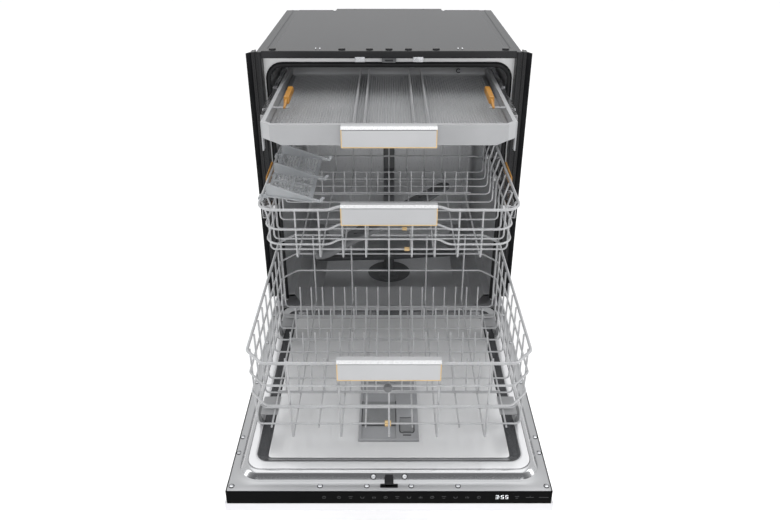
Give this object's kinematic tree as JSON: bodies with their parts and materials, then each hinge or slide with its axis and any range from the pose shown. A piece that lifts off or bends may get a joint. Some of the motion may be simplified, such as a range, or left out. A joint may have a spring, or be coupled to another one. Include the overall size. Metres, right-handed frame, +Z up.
{
  "type": "built-in dishwasher",
  "caption": "Panel-ready built-in dishwasher with its door open flat, a cutlery tray and wire racks drawn out, folding tines, spray arms and level feet.",
  "frame": {"origin": "centre of the whole footprint, on the floor under the levelling feet", "axes": "+Z up, +Y from the open door towards the cabinet's back, +X to the right as seen from the door"},
  "size_m": [0.6244, 1.2132, 0.855],
  "materials": {
    "stainless": "brushed",
    "pale_flange": "satin",
    "gasket": "matt",
    "top_sheet": "galvanised",
    "side_sheet": "galvanised",
    "black_trim": "fine grain",
    "zinc_bracket": "zinc plated",
    "base_plastic": "moulded",
    "counterweight": "cast",
    "grey_plastic": "moulded",
    "motor": "satin",
    "valve_plastic": "moulded",
    "slide_steel": "polished",
    "liner_steel": "bright brushed",
    "door_black": "satin",
    "strip_black": "satin gloss",
    "panel_front": "lacquered white",
    "dispenser": "satin",
    "dispenser_lid": "satin",
    "rack_frame": "satin",
    "handle_silver": "silver satin",
    "lever_orange": "satin",
    "coated_wire": "plastic coated",
    "shelf_clear": "translucent",
    "arm_grey": "moulded",
    "wheel_grey": "moulded"
  },
  "bodies": {
    "cabinet": {"tub_shell": "stainless", "tub_floor": "stainless", "front_flange": "pale_flange", "door_gasket": "gasket", "top_panel": "top_sheet", "side_panels": "side_sheet", "rear_panel": "side_sheet", "front_uprights": "black_trim", "side_sealing_strips": "black_trim", "top_rail": "black_trim", "counter_brackets": "zinc_bracket", "door_strike": "grey_plastic", "base_tray": "base_plastic", "hinge_brackets": "zinc_bracket", "rear_counterweight": "counterweight", "sump": "grey_plastic", "circulation_pump": "motor", "drain_pump": "base_plastic", "inlet_valve": "valve_plastic", "rack_guides": "slide_steel", "water_duct": "grey_plastic"},
    "filter": {"filter_cup": "grey_plastic"},
    "lower_arm": {"lower_spray_arm": "arm_grey"},
    "top_arm": {"top_spray_arm": "arm_grey"},
    "front_left_foot": {"front_left_foot": "base_plastic"},
    "front_right_foot": {"front_right_foot": "base_plastic"},
    "rear_left_foot": {"rear_left_foot": "base_plastic"},
    "rear_right_foot": {"rear_right_foot": "base_plastic"},
    "door": {"door_liner": "liner_steel", "door_shell": "door_black", "door_latch": "black_trim", "control_strip": "strip_black", "furniture_panel": "panel_front", "dispenser_body": "dispenser", "hinge_arms": "zinc_bracket"},
    "detergent_lid": {"detergent_lid": "dispenser_lid"},
    "rinse_aid_flap": {"rinse_aid_flap": "dispenser_lid"},
    "third_rack": {"third_rack_frame": "rack_frame", "third_rack_floor": "rack_frame", "third_rack_handle": "handle_silver", "third_rack_runners": "slide_steel"},
    "third_middle_slides": {"third_middle_slides": "slide_steel"},
    "third_left_lever": {"third_left_lever": "lever_orange"},
    "third_right_lever": {"third_right_lever": "lever_orange"},
    "upper_rack": {"upper_basket": "coated_wire", "upper_rack_handle": "handle_silver", "upper_rack_runners": "slide_steel", "upper_feed_tube": "arm_grey"},
    "upper_middle_slides": {"upper_middle_slides": "slide_steel"},
    "upper_tines": {"upper_tines": "coated_wire"},
    "cup_shelf": {"cup_shelf": "shelf_clear"},
    "height_levers": {"upper_height_levers": "lever_orange"},
    "upper_arm": {"upper_spray_arm": "arm_grey"},
    "lower_rack": {"lower_basket": "coated_wire", "lower_rack_handle": "handle_silver", "wheel_brackets": "wheel_grey"},
    "lower_front_tines": {"lower_front_tines": "coated_wire"},
    "lower_rear_tines": {"lower_rear_tines": "coated_wire"},
    "front_wheels": {"front_wheels": "wheel_grey"},
    "rear_wheels": {"rear_wheels": "wheel_grey"}
  },
  "joints": [
    {"name": "door_hinge", "type": "hinge", "parent": "cabinet", "child": "door", "pos_m": [0, 0.0346, 0.2052], "axis": [1, 0, 0], "range_deg": [-12, 0]},
    {"name": "third_rack_slide", "type": "slide", "parent": "cabinet", "child": "third_rack", "axis": [0, 1, 0], "range_m": [-0.1, 0.308]},
    {"name": "third_middle_slide", "type": "slide", "parent": "cabinet", "child": "third_middle_slides", "axis": [0, 1, 0], "range_m": [-0.05, 0.154]},
    {"name": "upper_rack_slide", "type": "slide", "parent": "cabinet", "child": "upper_rack", "axis": [0, 1, 0], "range_m": [-0.06, 0.382]},
    {"name": "upper_middle_slide", "type": "slide", "parent": "cabinet", "child": "upper_middle_slides", "axis": [0, 1, 0], "range_m": [-0.03, 0.191]},
    {"name": "lower_rack_slide", "type": "slide", "parent": "door", "child": "lower_rack", "axis": [0, 1, 0], "range_m": [0, 0.6]},
    {"name": "front_wheels_roll", "type": "hinge", "parent": "lower_rack", "child": "front_wheels", "pos_m": [0, -0.4364, 0.2363], "axis": [1, 0, 0], "continuous": true},
    {"name": "rear_wheels_roll", "type": "hinge", "parent": "lower_rack", "child": "rear_wheels", "pos_m": [0, -0.1314, 0.2363], "axis": [1, 0, 0], "continuous": true},
    {"name": "lower_front_tines_fold", "type": "hinge", "parent": "lower_rack", "child": "lower_front_tines", "pos_m": [0, -0.4044, 0.2697], "axis": [-1, 0, 0], "range_deg": [0, 80]},
    {"name": "lower_rear_tines_fold", "type": "hinge", "parent": "lower_rack", "child": "lower_rear_tines", "pos_m": [0, -0.2204, 0.2697], "axis": [-1, 0, 0], "range_deg": [0, 80]},
    {"name": "upper_tines_fold", "type": "hinge", "parent": "upper_rack", "child": "upper_tines", "pos_m": [0, -0.0054, 0.5347], "axis": [-1, 0, 0], "range_deg": [0, 80]},
    {"name": "cup_shelf_fold", "type": "hinge", "parent": "upper_rack", "child": "cup_shelf", "pos_m": [-0.251, -0.1204, 0.634], "axis": [0, -1, 0], "range_deg": [0, 50]},
    {"name": "height_levers_press", "type": "hinge", "parent": "upper_rack", "child": "height_levers", "pos_m": [0, -0.0754, 0.623], "axis": [-1, 0, 0], "range_deg": [0, 8], "stiffness_Nm_per_rad": 0.6},
    {"name": "third_left_lever_press", "type": "hinge", "parent": "third_rack", "child": "third_left_lever", "pos_m": [-0.2115, -0.1314, 0.776], "axis": [1, 0, 0], "range_deg": [0, 8], "stiffness_Nm_per_rad": 0.3},
    {"name": "third_right_lever_press", "type": "hinge", "parent": "third_rack", "child": "third_right_lever", "pos_m": [0.2115, -0.1314, 0.776], "axis": [1, 0, 0], "range_deg": [0, 8], "stiffness_Nm_per_rad": 0.3},
    {"name": "upper_arm_spin", "type": "hinge", "parent": "upper_rack", "child": "upper_arm", "pos_m": [0, -0.0744, 0.5], "axis": [0, 0, 1], "continuous": true},
    {"name": "lower_arm_spin", "type": "hinge", "parent": "cabinet", "child": "lower_arm", "pos_m": [0, 0.3146, 0.196], "axis": [0, 0, 1], "continuous": true},
    {"name": "top_arm_spin", "type": "hinge", "parent": "cabinet", "child": "top_arm", "pos_m": [0, 0.3146, 0.8], "axis": [0, 0, 1], "continuous": true},
    {"name": "filter_twist", "type": "hinge", "parent": "cabinet", "child": "filter", "pos_m": [0, 0.2666, 0.15], "axis": [0, 0, 1], "range_deg": [0, 45]},
    {"name": "detergent_lid_slide", "type": "slide", "parent": "door", "child": "detergent_lid", "axis": [0, 1, 0], "range_m": [0, 0.063]},
    {"name": "rinse_aid_flap_open", "type": "hinge", "parent": "door", "child": "rinse_aid_flap", "pos_m": [0.036, -0.4234, 0.2109], "axis": [-1, 0, 0], "range_deg": [0, 95]},
    {"name": "front_left_foot_adjust", "type": "slide", "parent": "cabinet", "child": "front_left_foot", "axis": [0, 0, 1], "range_m": [-0.05, 0]},
    {"name": "front_right_foot_adjust", "type": "slide", "parent": "cabinet", "child": "front_right_foot", "axis": [0, 0, 1], "range_m": [-0.05, 0]},
    {"name": "rear_left_foot_adjust", "type": "slide", "parent": "cabinet", "child": "rear_left_foot", "axis": [0, 0, 1], "range_m": [-0.05, 0]},
    {"name": "rear_right_foot_adjust", "type": "slide", "parent": "cabinet", "child": "rear_right_foot", "axis": [0, 0, 1], "range_m": [-0.05, 0]}
  ],
  "couplings": [
    {"joint": "third_middle_slide", "follows": "third_rack_slide", "ratio": 0.5},
    {"joint": "upper_middle_slide", "follows": "upper_rack_slide", "ratio": 0.5},
    {"joint": "front_wheels_roll", "follows": "lower_rack_slide", "rad_per_m": -55.556},
    {"joint": "rear_wheels_roll", "follows": "lower_rack_slide", "rad_per_m": -55.556}
  ]
}
